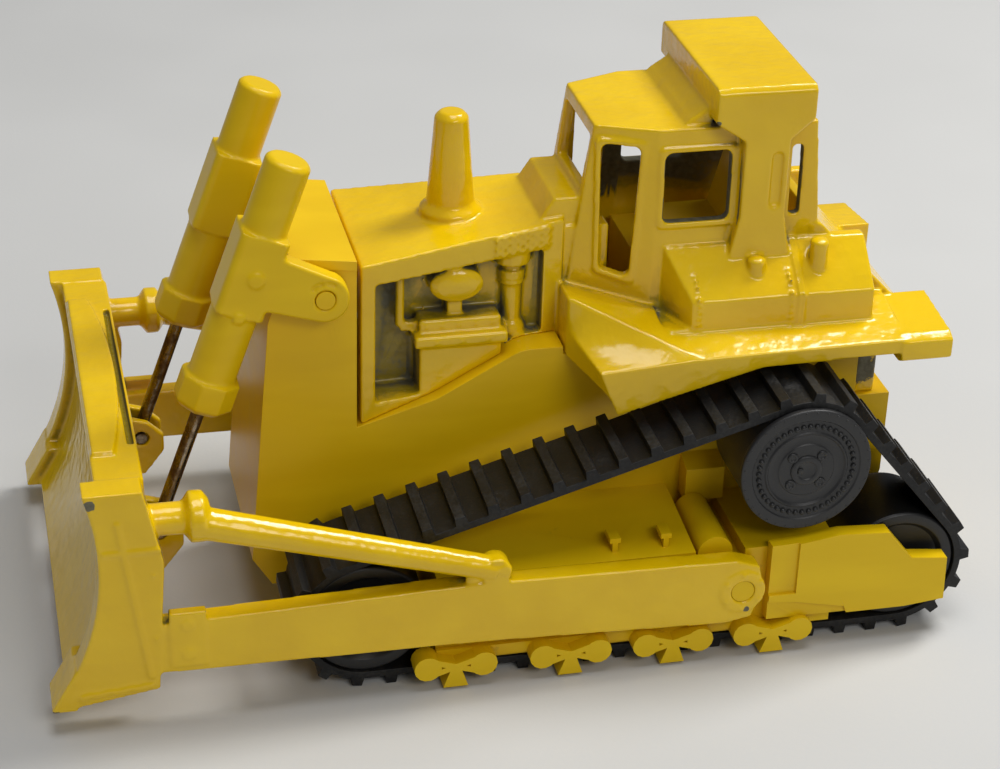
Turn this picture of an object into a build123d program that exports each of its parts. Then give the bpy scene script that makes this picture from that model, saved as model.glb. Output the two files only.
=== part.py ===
# Toy bulldozer with raised drive sprockets, a straight blade on push arms and two lift cylinders.
# Millimetres. +X points to the blade, +Y to the machine's left side, +Z up.
# The origin lies on the floor under the middle of the whole toy.
from math import asin, atan2, cos, degrees, hypot, pi, sin
import os

from build123d import *

os.makedirs("parts", exist_ok=True)

# Tracks: one rubber loop over a front idler, a rear idler and a raised sprocket
front_idler_x = 20.2
rear_idler_x = -49.9
sprocket_x = -35.5
sprocket_z = 26.3
idler_belt_r = 7.7
sprocket_belt_r = 8.3
belt_thickness = 0.95
lug_height = 1.15
lug_root = 1.8
lug_tip = 1.3
lug_pitch = 4.3
track_inner_y = 15.4
track_width = 11.2
wheel_clearance = 0.05
idler_z = idler_belt_r + wheel_clearance + belt_thickness + lug_height
track_outer_y = track_inner_y + track_width

# Wheels
wheel_gap = 0.25
stub_r = 2.4
dish_r = 5.6
dish_depth = 0.7
idler_hub_r = 2.0
sprocket_face_r = 8.6
sprocket_face = 0.9
bead_count = 40
bead_r = 0.4
bead_height = 0.35
bead_ring_r = 6.2
groove_r = 5.5
groove_width = 0.25
hub_r = 2.1
hub_lobe_r = 0.65
hub_lobe_reach = 2.6
hub_height = 0.35
hub_hole = 0.7

# Chassis: plastic base with side panels, the radiator housing and the seat inside the cab
chassis_half_width = 12.0
chassis_bottom_z = 7.0
chassis_front_x = 32.6
nose_rake = 2.5
nose_z = 11.0
housing_shoulder_x = 30.0
housing_shoulder_z = 44.8
housing_top_front_x = 27.2
housing_top_front_z = 53.5
housing_split_x = 19.0
housing_top_rear_z = 52.5
lip_height = 1.3
lip_reach = 0.2
sill_front_z = 29.2
sill_low_x = 8.8
sill_low_z = 32.3
sill_high_x = -2.0
sill_high_z = 38.3
sill_rear_x = -7.4
sill_bend_r = 5.0
deck_z = 37.2
deck_rear_x = -47.4
rear_block_z = 27.4
chassis_rear_x = -52.3
rear_undercut_x = 2.2
rear_undercut_z = 15.6
side_box_front_x = -23.9
side_box_rear_x = -29.1
side_box_low_z = 15.5
side_box_high_z = 20.2
side_box_slope = 1.0
tower_front_x = -18.5
tower_rear_x = -37.4
tower_half_width = 8.2
tower_z = 46.5
seat_half_width = 4.6
seat_front_x = -22.5
seat_z = 49.5
seat_back_x = -30.5
seat_back_z = 57.0
rivet_x = (24.0, -44.0)
rivet_well_r = 2.6
rivet_well_depth = 0.8
rivet_head_r = 1.7

# Track frame inside each loop
frame_front_gap = 8.6
frame_low_z = 2.6
cover_inner_y = 15.0
cover_inner_z = 16.6
cover_outer_z = 15.2
cover_rear_x = -22.0
frame_well_z = 13.0
frame_block_x = -28.6
frame_block_z = 15.0
frame_rear_gap = 9.0
tube_x = -24.7
tube_z = 14.6
tube_r = 2.3
tube_inner_y = 15.5
tube_outer_y = 26.4
nub_x = (-11.75, -18.45)
nub_y = 24.0
nub_length = 2.4
nub_height = 2.2
nub_head = 0.7
plate_y = 28.5
plate_raise = 0.4
plate_low_z = 4.9
plate_front_x = -31.6
plate_front_z = 16.0
plate_step_x = -35.2
plate_step_z = 16.2
plate_rear = ((-40.6, 17.0), (-47.2, 16.6), (-50.6, 12.4), (-55.6, 11.8), (-55.8, 5.5), (-50.4, plate_low_z))
lip_front_z = 8.7
lip_rear = (-41.4, 7.5)
strip_y = 27.5
strip_low_z = 3.3
strip_high_z = 4.8
strip_rear_x = -28.0
bogie_x = (9.4, -5.5, -19.0, -32.4)
bogie_y = 29.4
bogie_half = 3.6
bogie_z = 3.4
bogie_r = 1.75
bogie_bar = 0.8
bogie_foot_z = 0.4
bogie_foot = 1.6

# Body casting: hood, engine relief, cab, guard box, fenders and tanks
part_gap = 0.12
hood_half_front = 11.7
hood_half_rear = 7.6
hood_rear_x = -8.0
hood_front_z = 51.4
hood_rear_z = 53.9
strip_front = 2.9
strip_rear = 3.8
bay_post = 1.9
bay_rear_x = -5.4
bay_floor_z = 31.4
bay_bottom_z = 28.6
engine_wall_y = 6.0
round_sides = 14
grille_height = 0.2
grille_diamond = 0.8
grille_columns = (-2.5, -3.7, -4.9, -6.1, -7.3, -8.5)
grille_rows = (0.7, 1.8, 2.9)
cowl_front_x = -4.6
cowl_crest_x = -6.9
cowl_z = 56.4
cowl_half_width = 6.6
block_front_x = 10.7
block_rear_x = 0.2
block_top_z = 38.9
block_y = 10.2
cover_y = 10.9
cover_height = 1.6
cover_overhang = 0.7
upper_cover_y = 9.6
upper_cover_height = 1.7
pod_x = 5.9
pod_z = 46.7
pod_half_length = 3.3
pod_half_height = 2.4
pod_y = 9.7
pod_edge = 0.7
pod_stem = 1.0
riser_x = -1.7
riser_y = 6.3
riser_r = 1.35
riser_foot_r = 1.75
riser_foot_low_z = 36.5
riser_foot_z = 40.0
riser_rings = 3
ring_r = 1.75
ring_low_z = 45.4
ring_pitch = 0.75
riser_cap_r = 2.45
riser_cap_z = 48.3
riser_cap_height = 1.4
pipe_x = 12.9
pipe_y = 7.8
pipe_r = 0.65
pipe_low_z = 41.0
fender_y = 20.6
fender_front_x = -10.0
fender_front_z = 38.7
fender_mid_x = -24.8
fender_mid_z = 39.6
fender_rear_x = -50.0
fender_rear_z = 39.9
fender_tip_x = -12.4
fender_tip_z = 32.5
fender_arch_x = -30.6
fender_arch_z = 37.6
fender_tail_low_z = 38.0
fender_root_y = 12.4
root_front_x = -7.6
root_front_z = 45.4
root_mid_x = -19.0
root_mid_z = 42.7
root_rear_z = 42.2
corner_rear_x = -56.3
corner_inner_y = 10.2
corner_top_z = 41.4
corner_outer_z = 40.2
corner_low_z = 36.4
corner_r = 1.2
rear_post_x = -50.3
rear_post_half_width = 11.2
cab_front_top_x = -11.4
cab_front_low_x = -7.8
cab_half_front_top = 7.0
cab_half_front_low = 7.7
cab_corner_top_x = -19.0
cab_corner_low_x = -18.6
cab_half_top = 10.0
cab_half_low = 10.9
cab_rear_top_x = -39.5
cab_rear_low_x = -41.6
cab_low_z = 38.5
cab_roof_z = 66.2
cab_wall = 1.3
cab_inner_low_z = 36.0
side_window_front_x = -19.9
side_window_rear_x = -28.4
side_window_low_z = 53.8
side_window_high_z = 63.1
rear_slit_front_x = -36.4
rear_slit_rear_x = -37.8
window_corner_r = 0.9
frame_width = 0.7
frame_height = 0.3
door_window = ((-12.2, 64.0), (-17.0, 63.7), (-16.0, 46.2), (-12.4, 47.4))
windshield_half_low = 5.6
windshield_half_high = 6.0
windshield_high_z = 64.3
rear_window_half_width = 7.2
rear_window_low_z = 54.0
tank_y = 16.4
tank_front_x = -22.7
tank_front_root_x = -20.2
tank_split_x = -37.0
tank_gap = 0.9
tank_rear_x = -46.8
tank_side_z = 46.3
tank_root_z = 50.6
tank_shoulder_r = 1.0
tank_rib = 0.25
filler_y = 13.4
filler_r = 1.2
filler_places = ((-31.6, 49.5), (-39.8, 51.4))
slope_low_x = -54.0
slope_low_z = 38.9
slope_high_z = 52.2
slope_half_width = 10.6
guard_y = 12.5
guard_front_x = -25.4
guard_rear_x = -38.2
guard_top_z = 72.0
guard_low_z = 67.5
guard_edge = 0.7
guard_post_front_x = -29.3
guard_post_rear_x = -35.2
guard_post_top_z = 64.9
guard_foot_z = 49.0
guard_shank_z = 54.6
guard_foot_flare = 1.1
guard_post_inner_y = 9.6
slot_x = -33.7
slot_low_z = 55.8
slot_high_z = 63.3
slot_width = 1.5
slot_depth = 0.5
ramp_front_x = -22.3
ramp_step = 0.8
ramp_z = 68.5
stack_x = 5.0
stack_top_z = 66.3
stack_top_r = 2.15
stack_base_r = 3.05
stack_foot = 0.9
stack_foot_z = 54.2
stack_edge = 0.7

# Blade, push arms and braces: one casting
arm_pivot_x = -27.6
arm_pivot_z = 10.6
arm_inner_y = 27.1
arm_thickness = 2.8
arm_front_x = 47.5
arm_front_low_z = 7.6
arm_front_high_z = 14.6
arm_mid_x = 6.0
arm_mid_high_z = 15.8
arm_mid_low_z = 7.1
arm_rear_x = -30.4
arm_rear_low_z = 5.9
arm_rear_high_z = 15.2
arm_pin_r = 1.5
arm_boss_r = 3.0
relief = 0.25
flange_front_x = 45.0
flange_rear_x = 40.5
flange_low_z = 8.4
flange_high_z = 16.2
blade_half_width = 30.1
blade_top_z = 33.6
blade_top_front_x = 54.5
blade_curve_x = 53.0
blade_curve_z = 23.5
blade_tip_x = 59.7
blade_tip_z = 3.4
face_recess = 1.6
cutting_edge_x = 57.8
cutting_edge_z = 3.7
edge_thickness = 1.5
skin_thickness = 1.5
skin_low_z = 12.0
band_back_x = 46.9
band_z = 30.9
cap_width = 3.8
cap_back_x = 45.2
cap_back_top_x = 47.4
cap_back_low_x = 46.4
cap_back_low_z = 5.5
cap_rib_top = (50.9, 29.7)
cap_rib_low = (47.7, 7.4)
cap_rib_front_x = 56.0
cap_bar_z = 25.2
rib_width = 0.6
board_drop = 0.3
rail_half_length = 20.5
rail_reach = 1.9
rail_depth = 2.6
rail_height = 1.0
groove_half_length = 18.0
groove_back = 1.5
groove_depth = 1.0
bit_inner_y = 23.8
bit_high_z = 9.0
bit_thickness = 1.6
brace_front_x = 40.0
brace_front_y = 28.2
brace_front_z = 27.4
brace_rear_x = 4.6
brace_rear_y = 28.75
brace_rear_z = 17.2
brace_front_r = 2.05
brace_rear_r = 1.6
brace_boss_r = 1.9
ball_x = 41.0
ball_y = 27.1
ball_z = 27.9
ball_r = 3.15
ball_length = 3.2
socket_r = 2.0

# Lift cylinders: yoke pin on the housing, rod eye between ears on the blade's back
yoke_pin_x = 23.3
yoke_pin_z = 48.9
yoke_pin_r = 1.2
yoke_gap = 0.35
yoke_thickness = 2.6
yoke_end_r = 3.0
yoke_slot_r = 2.2
yoke_slot_width = 0.45
rod_eye_x = 44.4
rod_eye_z = 17.8
cylinder_top_x = 27.0
cylinder_top_z = 66.5
cylinder_y = 11.9
barrel_r = 3.0
cap_r = 2.85
cap_edge = 0.5
collar_r = 3.85
collar_sides = 8
collar_height = 4.4
collar_bottom = 17.5
collar_edge = 0.8
block_bottom = 31.4
block_top = 42.2
block_half = 3.1
block_corner_r = 0.9
block_boss_r = 1.0
block_boss_height = 0.3
block_nub = 1.2
bore_depth = 26.0
rod_length = 31.0
rod_r = 0.85
rod_pin_r = 0.75
rod_bore_clearance = 0.06
pivot_clearance = 0.06
eye_clearance = 0.25
eye_ear_gap = 0.4
ear_thickness = 1.2
ear_nose = 3.0
ear_high = 4.6
ear_low = 6.4

sides = {"left": 1, "right": -1}


def side_plane(y):
    """Sketch plane at a distance y from the middle: local x is world X, local y is world Z."""
    return Plane(origin=(0, y, 0), x_dir=(1, 0, 0), z_dir=(0, -1, 0))


def cross_plane(x):
    """Sketch plane at a distance x along the machine: local x is world Y, local y is world Z."""
    return Plane(origin=(x, 0, 0), x_dir=(0, 1, 0), z_dir=(1, 0, 0))


def write(piece, name):
    piece.label = name
    export_step(piece, f"parts/{name}.step")


def write_pair(piece, name):
    """The modelled piece is the left one (+Y); the right one is its mirror image."""
    for side, sign in sides.items():
        write(piece if sign > 0 else mirror(piece, about=Plane.XZ), f"{name}_{side}")


# Wheel centres in the order in which the belt runs round them, with the belt's inner radius
wheels = (
    (front_idler_x, idler_z, idler_belt_r + wheel_clearance),
    (sprocket_x, sprocket_z, sprocket_belt_r + wheel_clearance),
    (rear_idler_x, idler_z, idler_belt_r + wheel_clearance),
)


def belt_path(grow):
    """Tangent runs and wheel arcs of the loop, each radius grown from the belt's inner face."""
    runs = []
    for i, (x0, z0, r0) in enumerate(wheels):
        x1, z1, r1 = wheels[(i + 1) % len(wheels)]
        lean = asin((r0 - r1) / hypot(x1 - x0, z1 - z0))
        angle = atan2(z1 - z0, x1 - x0) - pi / 2 + lean
        reach = [(x0, z0, r0 + grow), (x1, z1, r1 + grow)]
        ends = [(x + r * cos(angle), z + r * sin(angle)) for x, z, r in reach]
        runs.append((ends[0], ends[1], angle))
    return runs


def belt_outline(grow):
    """Draws the closed loop with the current line builder."""
    runs = belt_path(grow)
    for i, (start, end, angle) in enumerate(runs):
        x, z, r = wheels[(i + 1) % len(wheels)]
        turn = (runs[(i + 1) % len(runs)][2] - angle) % (2 * pi)
        Line(start, end)
        CenterArc((x, z), r + grow, degrees(angle), degrees(turn))


def lug_places():
    """Evenly spaced places of the bars on the belt's outer face, with their outward angles."""
    runs = belt_path(belt_thickness)
    stretches = []
    for i, (start, end, angle) in enumerate(runs):
        x, z, r = wheels[(i + 1) % len(wheels)]
        turn = (runs[(i + 1) % len(runs)][2] - angle) % (2 * pi)
        run = hypot(end[0] - start[0], end[1] - start[1])
        stretches.append((run, lambda s, a=start, b=end, n=run, t=angle: (
            a[0] + (b[0] - a[0]) * s / n, a[1] + (b[1] - a[1]) * s / n, t)))
        radius = r + belt_thickness
        stretches.append((radius * turn, lambda s, x=x, z=z, r=radius, t=angle: (
            x + r * cos(t + s / r), z + r * sin(t + s / r), t + s / r)))
    total = sum(size for size, _ in stretches)
    step = total / round(total / lug_pitch)
    places = []
    along = step / 2
    for size, place in stretches:
        while along < size:
            places.append(place(along))
            along += step
        along -= size
    return places


# Rubber track: the tapered bars are part of the loop's outline
with BuildPart() as track:
    with BuildSketch(side_plane(track_outer_y)):
        with BuildLine():
            belt_outline(belt_thickness)
        make_face()
        for x, z, angle in lug_places():
            with Locations(Location((x, z, 0), (0, 0, degrees(angle)))):
                Polygon(
                    (-belt_thickness / 2, lug_root / 2),
                    (-belt_thickness / 2, -lug_root / 2),
                    (lug_height, -lug_tip / 2),
                    (lug_height, lug_tip / 2),
                    align=None,
                )
        with BuildLine():
            belt_outline(0)
        make_face(mode=Mode.SUBTRACT)
    extrude(amount=track_width)
write_pair(track.part, "track")


def wheel_face(radius):
    """Half profile of a wheel about its axle: stub to the chassis, drum, and a dished outer face."""
    outer = track_outer_y - wheel_gap
    Polyline(
        (0, chassis_half_width),
        (stub_r, chassis_half_width),
        (stub_r, track_inner_y + wheel_gap),
        (radius, track_inner_y + wheel_gap),
        (radius, outer),
        (dish_r + dish_depth, outer),
        (dish_r, outer - dish_depth),
        (idler_hub_r, outer - dish_depth),
        (idler_hub_r, outer),
        (0, outer),
        close=True,
    )


# Idler: a drum with a dished face and a hub, on a stub that ends at the chassis
with BuildPart() as idler:
    with BuildSketch(Plane.XY):
        with BuildLine():
            wheel_face(idler_belt_r)
        make_face()
    revolve(axis=Axis.Y)
for place, x in (("front", front_idler_x), ("rear", rear_idler_x)):
    write_pair(idler.part.moved(Location((x, 0, idler_z))), f"{place}_idler")


# Sprocket: drum under the belt and a face plate outside it, with a ring of beads and a lobed hub
sprocket_face_y = track_outer_y + wheel_clearance + sprocket_face
with BuildPart() as sprocket:
    with BuildSketch(side_plane(track_outer_y + wheel_clearance)):
        Circle(sprocket_belt_r)
    extrude(amount=track_width + wheel_clearance - wheel_gap)
    with BuildSketch(side_plane(track_inner_y + wheel_gap)):
        Circle(stub_r)
    extrude(amount=track_inner_y + wheel_gap - chassis_half_width)
    with BuildSketch(side_plane(sprocket_face_y)):
        Circle(sprocket_face_r)
    extrude(amount=sprocket_face)
    with BuildSketch(side_plane(sprocket_face_y)):
        Circle(groove_r)
        Circle(groove_r - groove_width, mode=Mode.SUBTRACT)
    extrude(amount=groove_width, mode=Mode.SUBTRACT)
    with BuildSketch(side_plane(sprocket_face_y + bead_height)):
        with PolarLocations(bead_ring_r, bead_count):
            RegularPolygon(bead_r, 4)
    extrude(amount=bead_height)
    with BuildSketch(side_plane(sprocket_face_y + hub_height)):
        Circle(hub_r)
        with PolarLocations(hub_lobe_reach, 4, start_angle=45):
            Circle(hub_lobe_r)
        Rectangle(hub_hole, hub_hole, mode=Mode.SUBTRACT)
    extrude(amount=hub_height)
write_pair(sprocket.part.moved(Location((sprocket_x, 0, sprocket_z))), "sprocket")


def chassis_outline():
    """Side outline of the plastic base, with the sill's S bend below the engine."""
    sill = FilletPolyline(
        (housing_split_x, sill_front_z),
        (sill_low_x, sill_low_z),
        (sill_high_x, sill_high_z),
        (sill_rear_x, sill_high_z),
        radius=sill_bend_r,
    )
    Polyline(
        sill @ 1,
        (sill_rear_x, deck_z),
        (deck_rear_x, deck_z),
        (deck_rear_x, rear_block_z),
        (chassis_rear_x, rear_block_z),
        (chassis_rear_x, rear_undercut_z),
        (chassis_rear_x + rear_undercut_x, chassis_bottom_z),
        (chassis_front_x - nose_rake, chassis_bottom_z),
        (chassis_front_x, nose_z),
        (housing_shoulder_x, housing_shoulder_z),
        (housing_top_front_x, housing_top_front_z),
        (housing_split_x, housing_top_rear_z),
        sill @ 0,
    )


# Chassis: the left half with its lip, side box, seat and yoke pin, then mirrored
with BuildPart() as chassis:
    with BuildSketch(side_plane(chassis_half_width)):
        with BuildLine():
            chassis_outline()
        make_face()
    extrude(amount=chassis_half_width)
    with BuildSketch(side_plane(chassis_half_width + lip_reach)):
        Polygon(
            (housing_top_front_x, housing_top_front_z),
            (housing_split_x, housing_top_rear_z),
            (housing_split_x, housing_top_rear_z - lip_height),
            (housing_top_front_x + lip_reach, housing_top_front_z - lip_height),
            align=None,
        )
    extrude(amount=lip_reach + chassis_half_width)
    with BuildSketch(side_plane(track_inner_y - wheel_gap)):
        Polygon(
            (side_box_front_x, side_box_low_z),
            (side_box_front_x, side_box_high_z),
            (side_box_rear_x, side_box_high_z),
            (side_box_rear_x, side_box_low_z),
            align=None,
        )
    extrude(amount=track_inner_y - wheel_gap - chassis_half_width)
    with BuildSketch(cross_plane((side_box_front_x + side_box_rear_x) / 2)):
        Polygon(
            (chassis_half_width, side_box_high_z),
            (track_inner_y - wheel_gap, side_box_high_z),
            (chassis_half_width, side_box_high_z + side_box_slope),
            align=None,
        )
    extrude(amount=(side_box_front_x - side_box_rear_x) / 2, both=True)
    with BuildSketch(side_plane(tower_half_width)):
        Polygon(
            (tower_front_x, deck_z - 1),
            (tower_front_x, tower_z),
            (tower_rear_x, tower_z),
            (tower_rear_x, deck_z - 1),
            align=None,
        )
    extrude(amount=tower_half_width)
    with BuildSketch(side_plane(seat_half_width)):
        Polygon(
            (seat_front_x, tower_z),
            (seat_front_x, seat_z),
            (seat_back_x, seat_z),
            (seat_back_x - 2, seat_back_z),
            (seat_back_x - 4, seat_back_z),
            (seat_back_x - 4, tower_z),
            align=None,
        )
    extrude(amount=seat_half_width)
    with BuildSketch(side_plane(chassis_half_width + yoke_gap + yoke_thickness)):
        with Locations((yoke_pin_x, yoke_pin_z)):
            Circle(yoke_pin_r)
    extrude(amount=yoke_gap + yoke_thickness)
    mirror(about=Plane.XZ)
    for x in rivet_x:
        with BuildSketch(Plane.XY.offset(chassis_bottom_z)):
            with Locations((x, 0)):
                Circle(rivet_well_r)
                Circle(rivet_head_r, mode=Mode.SUBTRACT)
        extrude(amount=rivet_well_depth, mode=Mode.SUBTRACT)
write(chassis.part, "chassis")

# Track frame: stepped cover inside the loop, cross tube, outer plate and bogies below the arm
with BuildPart() as track_frame:
    frame_outer_y = arm_inner_y - 0.3
    frame_front_x = front_idler_x - frame_front_gap
    frame_rear_x = rear_idler_x + frame_rear_gap
    with BuildSketch(cross_plane(frame_front_x)):
        Polygon(
            (chassis_half_width, frame_low_z),
            (frame_outer_y, frame_low_z),
            (frame_outer_y, cover_outer_z),
            (cover_inner_y, cover_inner_z),
            (chassis_half_width, cover_inner_z),
            align=None,
        )
    extrude(amount=cover_rear_x - frame_front_x)
    with BuildSketch(side_plane(frame_outer_y)):
        Polygon(
            (cover_rear_x, frame_low_z),
            (cover_rear_x, frame_well_z),
            (frame_block_x, frame_well_z),
            (frame_block_x, frame_block_z),
            (frame_rear_x, frame_block_z),
            (frame_rear_x, frame_low_z),
            align=None,
        )
    extrude(amount=frame_outer_y - chassis_half_width)
    with BuildSketch(side_plane(tube_outer_y)):
        with Locations((tube_x, tube_z)):
            Circle(tube_r)
    extrude(amount=tube_outer_y - tube_inner_y)
    with BuildSketch(side_plane(nub_y + nub_length / 2)):
        for x in nub_x:
            with Locations((x, cover_outer_z + nub_height - nub_head / 2)):
                Rectangle(2 * nub_head, nub_head)
            with Locations((x, cover_outer_z + nub_height / 2)):
                Rectangle(nub_head, nub_height)
    extrude(amount=nub_length)
    with BuildSketch(side_plane(plate_y)):
        Polygon(
            (plate_front_x, plate_low_z),
            (plate_front_x, plate_front_z),
            (plate_step_x, plate_step_z),
            *plate_rear,
            align=None,
        )
    extrude(amount=plate_y - frame_outer_y)
    with BuildSketch(side_plane(plate_y + plate_raise)):
        Polygon(
            (plate_step_x, lip_front_z),
            (plate_step_x, plate_step_z),
            *plate_rear,
            (lip_rear[0] - 1, plate_low_z),
            lip_rear,
            align=None,
        )
        Polygon(
            (plate_front_x, lip_front_z - 1),
            (plate_front_x, lip_front_z),
            (plate_step_x, lip_front_z),
            lip_rear,
            (lip_rear[0] - 0.6, lip_rear[1] - 1.6),
            (plate_step_x, lip_front_z - 1.3),
            align=None,
        )
    extrude(amount=plate_raise)
    with BuildSketch(side_plane(strip_y)):
        with Locations(((frame_front_x + strip_rear_x) / 2, (strip_low_z + strip_high_z) / 2)):
            Rectangle(frame_front_x - strip_rear_x, strip_high_z - strip_low_z)
    extrude(amount=strip_y - frame_outer_y)
    with BuildSketch(side_plane(bogie_y)):
        for x in bogie_x:
            with Locations((x - bogie_half, bogie_z), (x + bogie_half, bogie_z)):
                RegularPolygon(bogie_r, round_sides)
            with Locations((x, bogie_z)):
                for turn in (18, -18):
                    Rectangle(2 * bogie_half, bogie_bar, rotation=turn)
            Polygon(
                (x - bogie_foot, bogie_foot_z),
                (x + bogie_foot, bogie_foot_z),
                (x + bogie_foot / 3, bogie_z),
                (x - bogie_foot / 3, bogie_z),
                align=None,
            )
    extrude(amount=bogie_y - frame_outer_y)
    with BuildSketch(side_plane(arm_inner_y + arm_thickness)):
        with Locations((arm_pivot_x, arm_pivot_z)):
            Circle(arm_pin_r)
    extrude(amount=arm_inner_y + arm_thickness - frame_outer_y)
write_pair(track_frame.part, "track_frame")

def cab_plan(front_x, half_front, corner_x, half, rear_x):
    """Left half of the cab's plan, from the middle of the front round to the middle of the rear."""
    return [(front_x, 0), (front_x, half_front), (corner_x, half), (rear_x, half), (rear_x, 0)]


def whole_plan(half_plan):
    return half_plan[1:-1] + [(x, -y) for x, y in reversed(half_plan[1:-1])]


def panel_point(panel, x, z):
    """Local place on an upright panel of the point that has the given world X and Z."""
    up = (z - panel.origin.Z) / panel.y_dir.Z
    return ((x - panel.origin.X - up * panel.y_dir.X) / panel.x_dir.X, up)


cab_low_plan = cab_plan(cab_front_low_x, cab_half_front_low, cab_corner_low_x, cab_half_low, cab_rear_low_x)
cab_top_plan = cab_plan(cab_front_top_x, cab_half_front_top, cab_corner_top_x, cab_half_top, cab_rear_top_x)
panels = []
for first, last in ((1, 2), (2, 3)):
    foot = [Vector(*cab_low_plan[i], cab_low_z) for i in (first, last)]
    head = [Vector(*cab_top_plan[i], cab_roof_z) for i in (first, last)]
    along = foot[1] - foot[0]
    up = (head[0] + head[1] - foot[0] - foot[1]) / 2
    panels.append(Plane(origin=(foot[0] + foot[1]) / 2, x_dir=along, z_dir=along.cross(up)))
door_panel, side_panel = panels
side_window = (
    (side_window_front_x, side_window_high_z),
    (side_window_rear_x, side_window_high_z),
    (side_window_rear_x, side_window_low_z),
    (side_window_front_x, side_window_low_z),
)
rear_slit = (
    (rear_slit_front_x, side_window_high_z),
    (rear_slit_rear_x, side_window_high_z),
    (rear_slit_rear_x, side_window_low_z),
    (rear_slit_front_x, side_window_low_z),
)
hood_front_x = housing_split_x - 0.55
hood_slope = (hood_half_front - hood_half_rear) / (hood_front_x - hood_rear_x)
hood_fall = (hood_rear_z - hood_front_z) / (hood_front_x - hood_rear_x)
hood_panel = Plane(
    origin=(hood_rear_x, hood_half_rear, hood_rear_z),
    x_dir=(-1, -hood_slope, 0),
    z_dir=(-hood_slope, 1, 0),
)

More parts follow.
